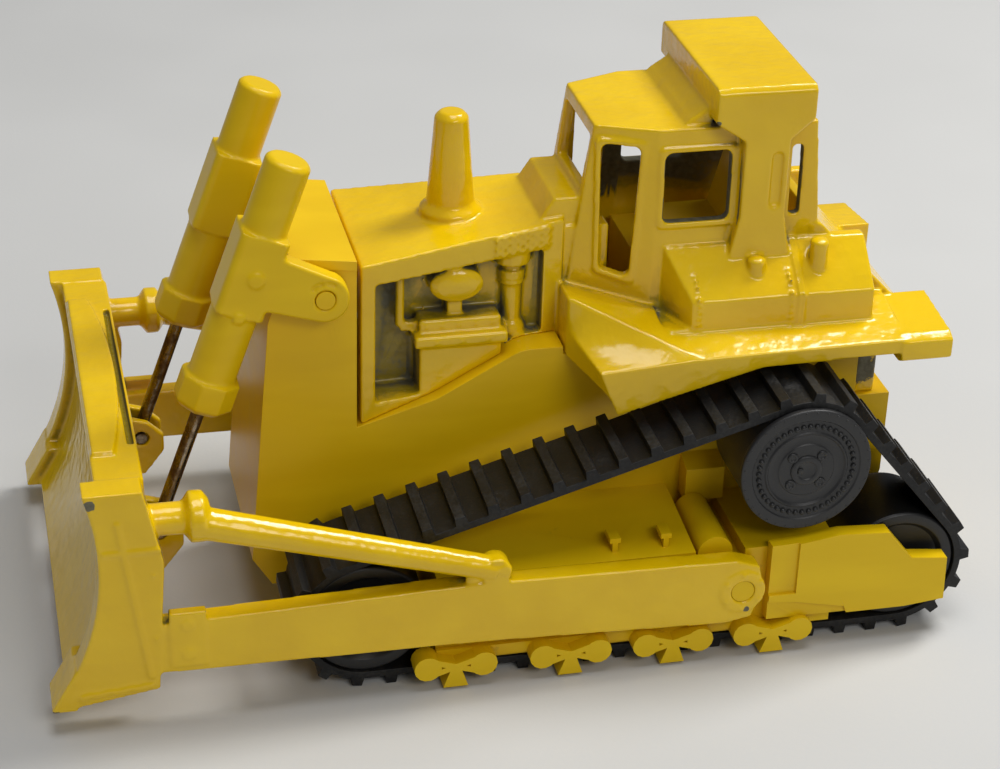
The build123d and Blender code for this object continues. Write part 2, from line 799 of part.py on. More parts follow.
# Body casting: the left half is modelled and mirrored, the stack is added in the middle
with BuildPart() as body:
    # Hood over the open engine bay, and the wedge of the cowl before the windshield
    for x, half, top in (
        (hood_front_x, hood_half_front, hood_front_z),
        (hood_rear_x, hood_half_rear, hood_rear_z),
    ):
        with BuildSketch(cross_plane(x)):
            Polygon((0, bay_bottom_z), (half, bay_bottom_z), (half, top), (0, top), align=None)
    loft()
    with BuildSketch(side_plane(chassis_half_width)):
        Polygon(
            (hood_front_x - bay_post, bay_floor_z + 0.7),
            (hood_front_x - bay_post, hood_front_z - strip_front),
            (bay_rear_x, hood_rear_z - strip_rear),
            (bay_rear_x, sill_high_z + 0.3),
            (sill_high_x, sill_high_z + 0.3),
            (sill_low_x - 4.2, bay_floor_z + 2.7),
            (sill_low_x + 1.8, bay_floor_z + 0.9),
            align=None,
        )
    extrude(amount=chassis_half_width - engine_wall_y, mode=Mode.SUBTRACT)
    with BuildSketch(side_plane(cowl_half_width)):
        Polygon(
            (cowl_front_x, hood_rear_z - 1),
            (cowl_crest_x, cowl_z),
            (cab_front_top_x, cowl_z),
            (cab_front_top_x, hood_rear_z - 1),
            align=None,
        )
    extrude(amount=cowl_half_width)
    # Diamond grille on the side of the hood
    with BuildSketch(hood_panel.offset(grille_height)):
        with Locations(*[(x, hood_fall * x - y) for x in grille_columns for y in grille_rows]):
            Rectangle(grille_diamond, grille_diamond, rotation=45)
    extrude(amount=-2 * grille_height)
    # Engine: block, two covers, oval pod on a stem, riser with rings and a cap, front pipe
    for front, rear, low, high, outer in (
        (block_front_x, block_rear_x, bay_floor_z, block_top_z, block_y),
        (block_front_x + cover_overhang, block_rear_x - cover_overhang, block_top_z,
         block_top_z + cover_height, cover_y),
        (block_front_x, block_rear_x, block_top_z + cover_height,
         block_top_z + cover_height + upper_cover_height, upper_cover_y),
        (pod_x + pod_stem, pod_x - pod_stem, block_top_z + cover_height, pod_z, pod_y - 2 * pod_edge),
    ):
        with BuildSketch(side_plane(outer)):
            with Locations(((front + rear) / 2, (low + high) / 2)):
                Rectangle(front - rear, high - low)
        extrude(amount=outer - engine_wall_y + 1)
    pod_step_y = pod_y - pod_edge
    for outer, shrink, depth in ((pod_step_y, 0, pod_step_y - engine_wall_y), (pod_y, pod_edge, pod_edge)):
        with BuildSketch(side_plane(outer)):
            Polygon(
                *[
                    (
                        pod_x + (pod_half_length - shrink) * cos(2 * pi * i / round_sides),
                        pod_z + (pod_half_height - shrink) * sin(2 * pi * i / round_sides),
                    )
                    for i in range(round_sides)
                ],
                align=None,
            )
        extrude(amount=depth)
    for radius, low, high in (
        (riser_foot_r, riser_foot_low_z, riser_foot_z),
        (riser_r, riser_foot_z, riser_cap_z),
        (riser_cap_r, riser_cap_z, riser_cap_z + riser_cap_height),
        *[
            (ring_r, ring_low_z + i * ring_pitch, ring_low_z + (i + 0.5) * ring_pitch)
            for i in range(riser_rings)
        ],
    ):
        with BuildSketch(Plane.XY.offset(low)):
            with Locations((riser_x, riser_y)):
                RegularPolygon(radius, round_sides)
        extrude(amount=high - low)
    with BuildSketch(Plane.XY.offset(pipe_low_z)):
        with Locations((pipe_x, pipe_y)):
            Circle(pipe_r)
    extrude(amount=hood_front_z - strip_front / 2 - pipe_low_z)
    with BuildSketch(cross_plane(pipe_x)):
        with Locations((pipe_y, pipe_low_z)):
            Rectangle(2 * pipe_r, 2 * pipe_r)
    extrude(amount=block_front_x - pipe_x - 1)
    # Fender that slopes outwards and down, with a cast corner block at its rear end
    root = (
        (root_front_x, root_front_z),
        (root_mid_x, root_mid_z),
        (fender_rear_x, root_rear_z),
        (fender_rear_x, deck_z),
        (fender_arch_x, deck_z),
        (root_front_x, deck_z),
    )
    rim = (
        (fender_front_x, fender_front_z),
        (fender_mid_x, fender_mid_z),
        (fender_rear_x, fender_rear_z),
        (fender_rear_x, fender_tail_low_z),
        (fender_arch_x, fender_arch_z),
        (fender_tip_x, fender_tip_z),
    )
    with BuildSketch(side_plane(fender_root_y)):
        Polygon(*root, align=None)
    extrude(amount=fender_root_y - cab_half_front_low + 0.5)
    for y, outline in ((fender_y, rim), (fender_root_y, root)):
        with BuildSketch(side_plane(y)):
            Polygon(*outline, align=None)
    loft(ruled=True)
    with BuildSketch(cross_plane(fender_rear_x + 0.5)):
        Polygon(
            (corner_inner_y, corner_low_z + 0.5),
            (corner_inner_y, corner_top_z),
            (fender_y + 0.2 - corner_r, corner_outer_z + 0.1),
            (fender_y + 0.2, corner_outer_z - corner_r / 2),
            (fender_y + 0.2, corner_low_z + corner_r / 2),
            (fender_y + 0.2 - corner_r, corner_low_z),
            align=None,
        )
    extrude(amount=corner_rear_x - fender_rear_x - 0.5)
    with BuildSketch(side_plane(slope_half_width)):
        Polygon(
            (cab_rear_low_x + 2, deck_z),
            (cab_rear_low_x + 2, slope_high_z),
            (cab_rear_low_x + 0.6, slope_high_z),
            (slope_low_x, slope_low_z),
            (slope_low_x, fender_arch_z),
            (deck_rear_x - part_gap, fender_arch_z),
            (deck_rear_x - part_gap, deck_z),
            align=None,
        )
    extrude(amount=slope_half_width)
    with BuildSketch(side_plane(rear_post_half_width)):
        Polygon(
            (deck_rear_x - part_gap, rear_block_z),
            (deck_rear_x - part_gap, fender_arch_z + 0.5),
            (rear_post_x, fender_arch_z + 0.5),
            (rear_post_x, rear_block_z),
            align=None,
        )
    extrude(amount=rear_post_half_width)
    # Two tanks with ribs between them and filler necks
    for front, rear, grow in (
        (tank_front_root_x, tank_split_x + tank_gap / 2, 0),
        (tank_split_x - tank_gap / 2, tank_rear_x, 0),
        (tank_split_x + tank_gap / 2, tank_split_x + tank_gap / 5, tank_rib),
        (tank_split_x - tank_gap / 5, tank_split_x - tank_gap / 2, tank_rib),
        (tank_split_x + tank_gap / 2, tank_split_x - tank_gap / 2, -tank_rib),
    ):
        with BuildSketch(cross_plane(front)):
            Polygon(
                (cab_half_top - cab_wall / 2, root_mid_z - 2),
                (tank_y + grow, root_mid_z - 2),
                (tank_y + grow, tank_side_z - tank_shoulder_r + grow),
                (tank_y - tank_shoulder_r + grow, tank_side_z + grow),
                (cab_half_low, tank_root_z + grow),
                (cab_half_top - cab_wall / 2, tank_root_z + grow),
                align=None,
            )
        extrude(amount=rear - front)
    with BuildSketch(Plane.XY.offset(root_mid_z - 1)):
        Polygon(
            (tank_front_root_x, cab_half_low),
            (tank_front_x, tank_y),
            (tank_front_x, tank_y + 1),
            (tank_front_root_x + 1, tank_y + 1),
            (tank_front_root_x + 1, cab_half_low),
            align=None,
        )
    extrude(amount=tank_root_z - root_mid_z + 2, mode=Mode.SUBTRACT)
    for x, top in filler_places:
        with BuildSketch(Plane.XY.offset(tank_side_z)):
            with Locations((x, filler_y)):
                Circle(filler_r)
        extrude(amount=top - tank_side_z)
    # Cab shell
    for z, plan in ((cab_low_z, cab_low_plan), (cab_roof_z, cab_top_plan)):
        with BuildSketch(Plane.XY.offset(z)):
            Polygon(*plan, align=None)
    loft(ruled=True)
    # Guard box over the roof with a ramp before it and a post down each side
    with BuildSketch(side_plane(guard_y)):
        Polygon(
            (guard_front_x, guard_low_z),
            (guard_front_x, guard_top_z),
            (guard_rear_x, guard_top_z),
            (guard_rear_x, guard_low_z),
            (guard_post_rear_x, guard_post_top_z),
            (guard_post_front_x, guard_post_top_z),
            align=None,
        )
    extrude(amount=guard_y)
    crown = body.edges().filter_by(Axis.X).group_by(Axis.Z)[-1]
    chamfer(crown.filter_by(lambda edge: edge.center().Y > guard_y / 2), guard_edge)
    with BuildSketch(side_plane(guard_y)):
        Polygon(
            (guard_post_front_x, guard_post_top_z + 1),
            (guard_post_front_x, guard_shank_z),
            (guard_post_front_x + guard_foot_flare, guard_foot_z),
            (guard_post_rear_x - guard_foot_flare, guard_foot_z),
            (guard_post_rear_x, guard_shank_z),
            (guard_post_rear_x, guard_post_top_z + 1),
            align=None,
        )
    extrude(amount=guard_y - guard_post_inner_y)
    with BuildSketch(side_plane(guard_y)):
        with Locations((slot_x, (slot_low_z + slot_high_z) / 2)):
            SlotOverall(slot_high_z - slot_low_z, slot_width, rotation=90)
    extrude(amount=slot_depth, mode=Mode.SUBTRACT)
    with BuildSketch(side_plane(cab_half_top - ramp_step)):
        Polygon(
            (ramp_front_x, cab_roof_z - 1),
            (ramp_front_x, cab_roof_z),
            (ramp_front_x - ramp_step, cab_roof_z + ramp_step),
            (guard_front_x, ramp_z),
            (guard_front_x - 1, cab_roof_z - 1),
            align=None,
        )
    extrude(amount=cab_half_top - ramp_step)
    # Raised surrounds, then the hollow inside and the open windows
    for panel, outline in ((door_panel, door_window), (side_panel, side_window)):
        with BuildSketch(panel.offset(frame_height)):
            with BuildLine():
                Polyline(*[panel_point(panel, x, z) for x, z in outline], close=True)
            make_face()
            offset(amount=frame_width, mode=Mode.REPLACE)
        extrude(amount=-frame_height - cab_wall / 2)
    for z, plan in ((cab_inner_low_z, cab_low_plan), (cab_roof_z - cab_wall, cab_top_plan)):
        with BuildSketch(Plane.XY.offset(z)):
            Polygon(*whole_plan(plan), align=None)
            offset(amount=-cab_wall, kind=Kind.INTERSECTION, mode=Mode.REPLACE)
    loft(ruled=True, mode=Mode.SUBTRACT)
    for panel, outline in ((door_panel, door_window), (side_panel, side_window), (side_panel, rear_slit)):
        with BuildSketch(panel.offset(2 * frame_height)):
            with BuildLine():
                Polyline(*[panel_point(panel, x, z) for x, z in outline], close=True)
            make_face()
            fillet(vertices(), window_corner_r * (1 if outline != rear_slit else 0.5))
        extrude(amount=-2 * frame_height - 2 * cab_wall, mode=Mode.SUBTRACT)
    with BuildSketch(cross_plane(cab_front_low_x)):
        Polygon(
            (0, cowl_z + frame_width),
            (windshield_half_low, cowl_z + frame_width),
            (windshield_half_high, windshield_high_z),
            (0, windshield_high_z),
            align=None,
        )
    extrude(amount=cab_front_top_x - cab_front_low_x - 2 * cab_wall, mode=Mode.SUBTRACT)
    with BuildSketch(cross_plane(cab_rear_low_x)):
        Polygon(
            (0, rear_window_low_z),
            (rear_window_half_width, rear_window_low_z),
            (rear_window_half_width, windshield_high_z),
            (0, windshield_high_z),
            align=None,
        )
    extrude(amount=cab_rear_top_x - cab_rear_low_x + 2 * cab_wall, mode=Mode.SUBTRACT)
    # The plastic base reaches up into the casting from below
    with BuildSketch(side_plane(chassis_half_width + part_gap)):
        with BuildLine():
            chassis_outline()
        make_face()
    extrude(amount=chassis_half_width + part_gap, mode=Mode.SUBTRACT)
    mirror(about=Plane.XZ)
    # Exhaust stack with a flared foot and a rounded top
    with BuildSketch(Plane.XZ):
        with BuildLine():
            Polyline(
                (stack_x, hood_front_z),
                (stack_x + stack_base_r + stack_foot, hood_front_z),
                (stack_x + stack_base_r + stack_foot, stack_foot_z - stack_foot),
                (stack_x + stack_base_r, stack_foot_z),
                (stack_x + stack_top_r, stack_top_z - stack_edge),
                (stack_x + stack_top_r - stack_edge, stack_top_z),
                (stack_x, stack_top_z),
                close=True,
            )
        make_face()
    revolve(axis=Axis((stack_x, 0, 0), (0, 0, 1)))
write(body.part, "body_casting")


# Blade frame: curved board with end caps, push arms, braces and rod ears in one casting
with BuildPart() as blade:
    with BuildSketch(side_plane(blade_half_width - cap_width)):
        with BuildLine():
            ThreePointArc(
                (blade_top_front_x - face_recess, blade_top_z - board_drop),
                (blade_curve_x - face_recess, blade_curve_z),
                (cutting_edge_x, cutting_edge_z),
            )
            Polyline(
                (cutting_edge_x, cutting_edge_z),
                (cutting_edge_x - edge_thickness, cutting_edge_z),
                (blade_curve_x - face_recess - skin_thickness, skin_low_z),
                (blade_curve_x - face_recess - skin_thickness, band_z),
                (band_back_x, band_z),
                (band_back_x, blade_top_z - board_drop),
                (blade_top_front_x - face_recess, blade_top_z - board_drop),
            )
        make_face()
    extrude(amount=blade_half_width - cap_width)
    with BuildSketch(side_plane(blade_half_width)):
        with BuildLine():
            front = ThreePointArc(
                (blade_top_front_x, blade_top_z),
                (blade_curve_x, blade_curve_z),
                (blade_tip_x, blade_tip_z),
            )
            Polyline(
                front @ 1,
                (cap_back_low_x, cap_back_low_z),
                (cap_back_x, blade_curve_z),
                (cap_back_top_x, blade_top_z),
                front @ 0,
            )
        make_face()
    extrude(amount=cap_width)
    # Cap relief: a slanting rib, a level rib and a lip along the foot
    with BuildSketch(side_plane(blade_half_width + relief)):
        Polygon(
            cap_rib_top,
            (cap_rib_top[0] - rib_width, cap_rib_top[1]),
            (cap_rib_low[0] - rib_width, cap_rib_low[1]),
            cap_rib_low,
            align=None,
        )
        Polygon(
            (cap_back_x + 0.3, cap_bar_z),
            (cap_back_x + 0.3, cap_bar_z + rib_width),
            (blade_curve_x - rib_width, cap_bar_z + rib_width),
            (blade_curve_x - rib_width, cap_bar_z),
            align=None,
        )
        Polygon(
            (cap_back_low_x + 0.8, cap_back_low_z + 0.4),
            (cap_back_low_x + 0.8, cap_back_low_z + 0.4 + rib_width),
            (cap_rib_front_x, cap_back_low_z + 0.2),
            (cap_rib_front_x, cap_back_low_z + 0.2 - rib_width),
            align=None,
        )
    extrude(amount=relief)
    # Pointed end bit beside the cutting edge
    with BuildSketch(side_plane(blade_half_width)):
        Polygon(
            (blade_tip_x, blade_tip_z),
            (blade_tip_x - 2 * bit_thickness, blade_tip_z),
            (blade_tip_x - 3 * bit_thickness, bit_high_z),
            (blade_tip_x - 2 * bit_thickness, bit_high_z),
            align=None,
        )
    extrude(amount=blade_half_width - bit_inner_y)
    # Push arm with a boss round its pin and a bolting plate at the blade
    with BuildSketch(side_plane(arm_inner_y + arm_thickness)):
        Polygon(
            (arm_front_x, arm_front_low_z),
            (arm_front_x, arm_front_high_z),
            (arm_mid_x, arm_mid_high_z),
            (arm_pivot_x + 1, arm_rear_high_z),
            (arm_rear_x + 0.8, arm_rear_high_z - 1),
            (arm_rear_x, arm_pivot_z),
            (arm_rear_x + 1.4, arm_rear_low_z + 0.7),
            (arm_pivot_x + 2, arm_rear_low_z),
            (arm_mid_x, arm_mid_low_z),
            align=None,
        )
    extrude(amount=arm_thickness)
    with BuildSketch(side_plane(arm_inner_y + arm_thickness + relief)):
        with Locations((arm_pivot_x, arm_pivot_z)):
            Circle(arm_boss_r)
        Polygon(
            (flange_rear_x, flange_low_z),
            (flange_rear_x, flange_high_z),
            (flange_front_x, flange_high_z),
            (flange_front_x, flange_low_z),
            align=None,
        )
    extrude(amount=arm_thickness / 2)
    with BuildSketch(side_plane(arm_inner_y + arm_thickness + relief)):
        with Locations((arm_pivot_x, arm_pivot_z)):
            Circle(arm_pin_r + pivot_clearance)
    extrude(amount=arm_thickness + 2 * relief, mode=Mode.SUBTRACT)
    # Tapered brace from its boss on the arm to the ball on the blade's back
    start = Vector(brace_front_x, brace_front_y, brace_front_z)
    end = Vector(brace_rear_x, brace_rear_y, brace_rear_z)
    for place, radius in ((start, brace_front_r), (end, brace_rear_r)):
        with BuildSketch(Plane(origin=place, x_dir=(0, 1, 0), z_dir=end - start)):
            RegularPolygon(radius, round_sides)
    loft(ruled=True)
    with BuildSketch(side_plane(arm_inner_y + arm_thickness)):
        with Locations((brace_rear_x, brace_rear_z)):
            Circle(brace_boss_r)
    extrude(amount=arm_thickness)
    with BuildSketch(side_plane(ball_y)):
        with BuildLine():
            Polyline(
                (ball_x - ball_length / 2, ball_z),
                (ball_x - ball_length / 2, ball_z + socket_r),
                (ball_x - ball_length / 4, ball_z + ball_r),
                (ball_x + ball_length / 4, ball_z + ball_r),
                (ball_x + ball_length / 2, ball_z + socket_r),
                (cap_back_top_x, ball_z + socket_r),
                (cap_back_top_x, ball_z),
                close=True,
            )
        make_face()
    revolve(axis=Axis((0, ball_y, ball_z), (1, 0, 0)))
    # Leaf-shaped ears on both sides of the rod's eye
    for ear_y in (cylinder_y - rod_r - eye_ear_gap, cylinder_y + rod_r + eye_ear_gap + ear_thickness):
        with BuildSketch(side_plane(ear_y)):
            Polygon(
                (blade_curve_x - face_recess - skin_thickness / 2, rod_eye_z + ear_high),
                (rod_eye_x - 0.9, rod_eye_z + ear_high / 2),
                (rod_eye_x - ear_nose, rod_eye_z + 0.3),
                (rod_eye_x - ear_nose, rod_eye_z - 2),
                (rod_eye_x - 0.4, rod_eye_z - ear_low + 1),
                (blade_curve_x - face_recess - skin_thickness / 2, rod_eye_z - ear_low),
                align=None,
            )
            with Locations((rod_eye_x, rod_eye_z)):
                Circle(rod_pin_r + eye_clearance, mode=Mode.SUBTRACT)
        extrude(amount=ear_thickness)
    mirror(about=Plane.XZ)
    # Lens-shaped spill rail along the top edge with a groove behind it
    rail_front_x = blade_top_front_x - face_recess - 0.4
    with BuildSketch(Plane.XY.offset(blade_top_z + board_drop)):
        with BuildLine():
            ThreePointArc(
                (rail_front_x - rail_depth, -rail_half_length),
                (rail_front_x - rail_depth - rail_reach, 0),
                (rail_front_x - rail_depth, rail_half_length),
            )
            Polyline(
                (rail_front_x - rail_depth, rail_half_length),
                (rail_front_x, rail_half_length),
                (rail_front_x, -rail_half_length),
                (rail_front_x - rail_depth, -rail_half_length),
            )
        make_face()
    extrude(amount=-rail_height)
    with BuildSketch(Plane.XY.offset(blade_top_z - board_drop)):
        with Locations((band_back_x + groove_back / 2, 0)):
            Rectangle(groove_back / 2, 2 * groove_half_length)
    extrude(amount=-groove_depth, mode=Mode.SUBTRACT)
write(blade.part, "blade_frame")


# Lift cylinder along its own axis: local z runs up the barrel, the origin is the rod's eye
cylinder_lean = degrees(atan2(rod_eye_x - cylinder_top_x, cylinder_top_z - rod_eye_z))
cylinder_length = hypot(rod_eye_x - cylinder_top_x, cylinder_top_z - rod_eye_z)
cylinder_frame = Location((rod_eye_x, cylinder_y, rod_eye_z), (0, -cylinder_lean, 0))
pin_local = Plane(cylinder_frame).to_local_coords(Vector(yoke_pin_x, cylinder_y, yoke_pin_z))

with BuildPart() as cylinder:
    with BuildSketch(Plane.XY.offset(collar_bottom)):
        Circle(barrel_r)
    extrude(amount=block_top - collar_bottom)
    with BuildSketch(Plane.XY.offset(collar_bottom)):
        RegularPolygon(collar_r, collar_sides, rotation=180 / collar_sides)
    extrude(amount=collar_height)
    chamfer(cylinder.faces().sort_by(Axis.Z)[0].outer_wire().edges(), collar_edge)
    with BuildSketch(Plane.XY.offset(block_bottom)):
        RectangleRounded(2 * block_half, 2 * block_half, block_corner_r)
    extrude(amount=block_top - block_bottom)
    with BuildSketch(Plane.XY.offset(block_top)):
        Circle(cap_r)
    extrude(amount=cylinder_length - block_top)
    chamfer(cylinder.faces().sort_by(Axis.Z)[-1].edges(), cap_edge)
    # Side boss and lower nub on the block's outer face
    with BuildSketch(side_plane(block_half + block_boss_height)):
        with Locations((-0.4, block_bottom + 5.4)):
            Circle(block_boss_r)
    extrude(amount=block_boss_height)
    with BuildSketch(side_plane(block_half + block_boss_height)):
        with Locations((0, block_bottom)):
            Rectangle(block_nub, block_nub)
    extrude(amount=2 * block_boss_height)
    # Yoke arm back to the pin on the housing's side, with a crescent slot round the pin
    yoke_y = chassis_half_width + yoke_gap - cylinder_y
    with BuildSketch(side_plane(yoke_y + yoke_thickness)):
        with Locations((pin_local.X, pin_local.Z)):
            Circle(yoke_end_r)
        Polygon(
            (pin_local.X, pin_local.Z - yoke_end_r),
            (pin_local.X, pin_local.Z + yoke_end_r),
            (0.5, pin_local.Z + yoke_end_r + 1.2),
            (0.5, pin_local.Z - yoke_end_r - 0.6),
            align=None,
        )
        with Locations((pin_local.X, pin_local.Z)):
            Circle(yoke_pin_r + pivot_clearance, mode=Mode.SUBTRACT)
    extrude(amount=yoke_thickness)
    with BuildSketch(side_plane(yoke_y + yoke_thickness)):
        with BuildLine():
            slot_arc = CenterArc((pin_local.X, pin_local.Z), yoke_slot_r, 20, 110)
        SlotArc(slot_arc, yoke_slot_width)
    extrude(amount=yoke_slot_width, mode=Mode.SUBTRACT)
    with BuildSketch(Plane.XY.offset(collar_bottom)):
        Circle(rod_r + rod_bore_clearance)
    extrude(amount=bore_depth, mode=Mode.SUBTRACT)
write_pair(cylinder.part.moved(cylinder_frame), "lift_cylinder")

# Steel rod with a cross pin in the ears' eyes
with BuildPart() as rod:
    with BuildSketch(Plane.XY):
        Circle(rod_r)
    extrude(amount=rod_length)
    with BuildSketch(side_plane(rod_r + eye_ear_gap + ear_thickness)):
        Circle(rod_pin_r)
    extrude(amount=2 * (rod_r + eye_ear_gap + ear_thickness))
write_pair(rod.part.moved(cylinder_frame), "lift_rod")
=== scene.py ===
from math import cos, pi, radians, sin

import bmesh
import bpy
from mathutils import Matrix, Vector
from mathutils.bvhtree import BVHTree


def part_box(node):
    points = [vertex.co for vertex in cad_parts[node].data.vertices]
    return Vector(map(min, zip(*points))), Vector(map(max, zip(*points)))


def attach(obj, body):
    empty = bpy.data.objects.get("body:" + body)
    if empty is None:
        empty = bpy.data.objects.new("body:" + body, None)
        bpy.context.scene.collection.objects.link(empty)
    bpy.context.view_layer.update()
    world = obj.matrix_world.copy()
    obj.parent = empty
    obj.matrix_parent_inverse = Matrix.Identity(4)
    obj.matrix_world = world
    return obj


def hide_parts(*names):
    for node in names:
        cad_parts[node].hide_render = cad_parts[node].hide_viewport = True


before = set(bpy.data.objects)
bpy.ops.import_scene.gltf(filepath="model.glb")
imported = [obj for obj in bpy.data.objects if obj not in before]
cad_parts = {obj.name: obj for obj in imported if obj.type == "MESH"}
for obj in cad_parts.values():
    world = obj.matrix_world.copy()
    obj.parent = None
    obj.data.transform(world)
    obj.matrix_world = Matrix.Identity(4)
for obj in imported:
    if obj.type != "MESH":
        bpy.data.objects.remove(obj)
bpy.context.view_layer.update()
mm = 0.001
casting_voxel = 0.21
lens_width, picture_width, focal_pixels = 36.0, 1000, 2424.1
cab_hollow = ((-38.2, -12.0, 49.0), (-17.0, 12.0, 67.6))
eye_low_z, eye_high_z, eye_step = 0.056, 0.062, 0.005
hidden_depth = 0.97
arm_pin = (-27.6, 10.6)
bump_ring_r = 2.45
sprocket_bead_ring_r, sprocket_beads = 6.25, 44
rim_notch_ring_r, rim_notches = 8.25, 36
hub_lobe_ring_r, hub_lobes = 2.75, 4


def at(x, y, z):
    return Vector((x, y, z)) * mm


# Shader values

class Tone:
    """A value of a finish: arithmetic on it adds Math nodes."""

    def __init__(self, finish, socket):
        self.finish, self.socket = finish, socket

    def math(self, operation, *terms):
        return self.finish.node("ShaderNodeMath", {"operation": operation}, dict(enumerate(terms)))

    def __add__(self, other):
        return self.math("ADD", self, other)

    __radd__ = __add__

    def __sub__(self, other):
        return self.math("SUBTRACT", self, other)

    def __rsub__(self, other):
        return self.math("SUBTRACT", other, self)

    def __mul__(self, other):
        return self.math("MULTIPLY", self, other)

    __rmul__ = __mul__

    def most(self, other):
        return self.math("MAXIMUM", self, other)

    def between(self, low, high):
        """0 below low, 1 above high, and a smooth rise from one to the other."""
        return self.finish.node(
            "ShaderNodeMapRange", {"interpolation_type": "SMOOTHSTEP"},
            {0: self, 1: low, 2: high, 3: 0.0, 4: 1.0})


class Finish:
    """A procedural material whose nodes all come from one method."""

    def __init__(self, name, constants=None):
        self.material = bpy.data.materials.new(name)
        self.material.use_nodes = True
        self.tree = self.material.node_tree
        self.shader = self.tree.nodes["Principled BSDF"]
        for socket, value in (constants or {}).items():
            self.shader.inputs[socket].default_value = value
        self.place = self.node("ShaderNodeTexCoord", output="Object")

    def node(self, kind, settings=None, inputs=None, output=0):
        made = self.tree.nodes.new(kind)
        for setting, value in (settings or {}).items():
            setattr(made, setting, value)
        for socket, value in (inputs or {}).items():
            self.feed(made.inputs[socket], value)
        return Tone(self, made.outputs[output])

    def feed(self, socket, value):
        if isinstance(value, Tone):
            self.tree.links.new(value.socket, socket)
        else:
            socket.default_value = value

    def grain(self, size, detail=2.0, rough=0.55, stretch=None):
        """Noise whose lumps are about size millimetres across."""
        where = self.place
        if stretch:
            where = self.node("ShaderNodeMapping", {"vector_type": "POINT"}, {0: where, 3: stretch})
        return self.node("ShaderNodeTexNoise", {"noise_dimensions": "3D"},
                         {"Vector": where, "Scale": 1000.0 / size, "Detail": detail, "Roughness": rough})

    def mix(self, amount, first, second):
        return self.node("ShaderNodeMix", {"data_type": "RGBA"}, {0: amount, 6: first, 7: second}, 2)

    def measure(self, name):
        return self.node("ShaderNodeAttribute", {"attribute_name": name}, None, "Fac")

    def near(self, centre, reach):
        """1 at a point of the part, 0 beyond reach millimetres from it."""
        away = self.node("ShaderNodeVectorMath", {"operation": "DISTANCE"},
                         {0: self.place, 1: tuple(at(*centre))}, 1)
        return 1 - away.between(reach * 0.3 * mm, reach * mm)

    def surface(self, color, rough, metal=None, coat=None, height=None, depth=0.02):
        """Colour, roughness and the rest; height is a bump, depth millimetres deep."""
        self.feed(self.shader.inputs["Base Color"], color)
        self.feed(self.shader.inputs["Roughness"], rough)
        if metal is not None:
            self.feed(self.shader.inputs["Metallic"], metal)
        if coat is not None:
            self.feed(self.shader.inputs["Coat Weight"], coat)
        if height is not None:
            bump = self.node("ShaderNodeBump", None,
                             {"Strength": 1.0, "Distance": depth * mm, "Height": height})
            self.feed(self.shader.inputs["Normal"], bump)
        return self.material


def rgb(red, green, blue):
    return (red, green, blue, 1.0)


def poured_enamel(name, chips):
    """Glossy yellow enamel: lighter along its crowns as a painted highlight, and where the form is deep,
    darker as painted shade and thin and dull over the bare casting.
    """
    paint = Finish(name, {"IOR": 1.5, "Coat Roughness": 0.10, "Specular IOR Level": 0.5})
    deep = paint.measure("recess")
    crown = paint.measure("crown")
    cloud = paint.grain(11.0)
    speck = paint.grain(0.9, 4.0)
    # Where the form is deep the enamel turns dull olive: thin enamel over the casting, and painted shade.
    thin = (deep + (speck - 0.5) * 0.30 + (cloud - 0.5) * 0.35).between(0.50, 0.66)
    # Dull zinc where the form is deepest is bare metal and painted shade; at the chips and rubbed crowns it
    # is wear.
    bare_metal_and_shade = (deep + (speck - 0.5) * 0.30 + (cloud - 0.5) * 0.35).between(0.74, 0.90)
    for centre, reach in chips:
        bare_metal_and_shade = bare_metal_and_shade.most((paint.near(centre, reach) * 0.75 + (speck - 0.5)).between(0.52, 0.60))
    rub = (crown + (paint.grain(0.5, 3.0) - 0.5) * 0.8 + (paint.grain(5.0) - 0.5) * 0.5).between(0.98, 1.12)
    bare_metal_and_shade = bare_metal_and_shade.most(rub * 0.8)
    yellow = paint.mix(cloud.between(0.35, 0.7), rgb(0.80, 0.51, 0.001), rgb(0.86, 0.565, 0.003))
    # Painted highlight: the yellow turns lighter along the crowns of edges.
    yellow = paint.mix(crown.between(0.15, 0.7) * 0.35, yellow, rgb(0.92, 0.64, 0.006))
    # Painted shade: the yellow turns darker where the form is deep.
    yellow = paint.mix(deep.between(0.22, 0.60) * 0.6, yellow, rgb(0.50, 0.31, 0.001))
    thin_enamel_and_shade = paint.mix(speck.between(0.3, 0.7), rgb(0.20, 0.16, 0.010), rgb(0.36, 0.27, 0.008))
    zinc = paint.mix(speck.between(0.25, 0.75), rgb(0.105, 0.095, 0.055), rgb(0.19, 0.18, 0.12))
    color = paint.mix(bare_metal_and_shade, paint.mix(thin * 0.85, yellow, thin_enamel_and_shade), zinc)
    ripple = paint.grain(2.4, 1.0) + paint.grain(0.8, 1.0) * 0.24
    return paint.surface(
        color,
        0.17 + bare_metal_and_shade * 0.36 + thin * 0.12 + (paint.grain(4.0) - 0.5) * 0.08,
        metal=bare_metal_and_shade * 0.35,
        coat=(1 - bare_metal_and_shade) * 0.10,
        height=ripple + bare_metal_and_shade * speck * 0.15,
        depth=0.16,
    )


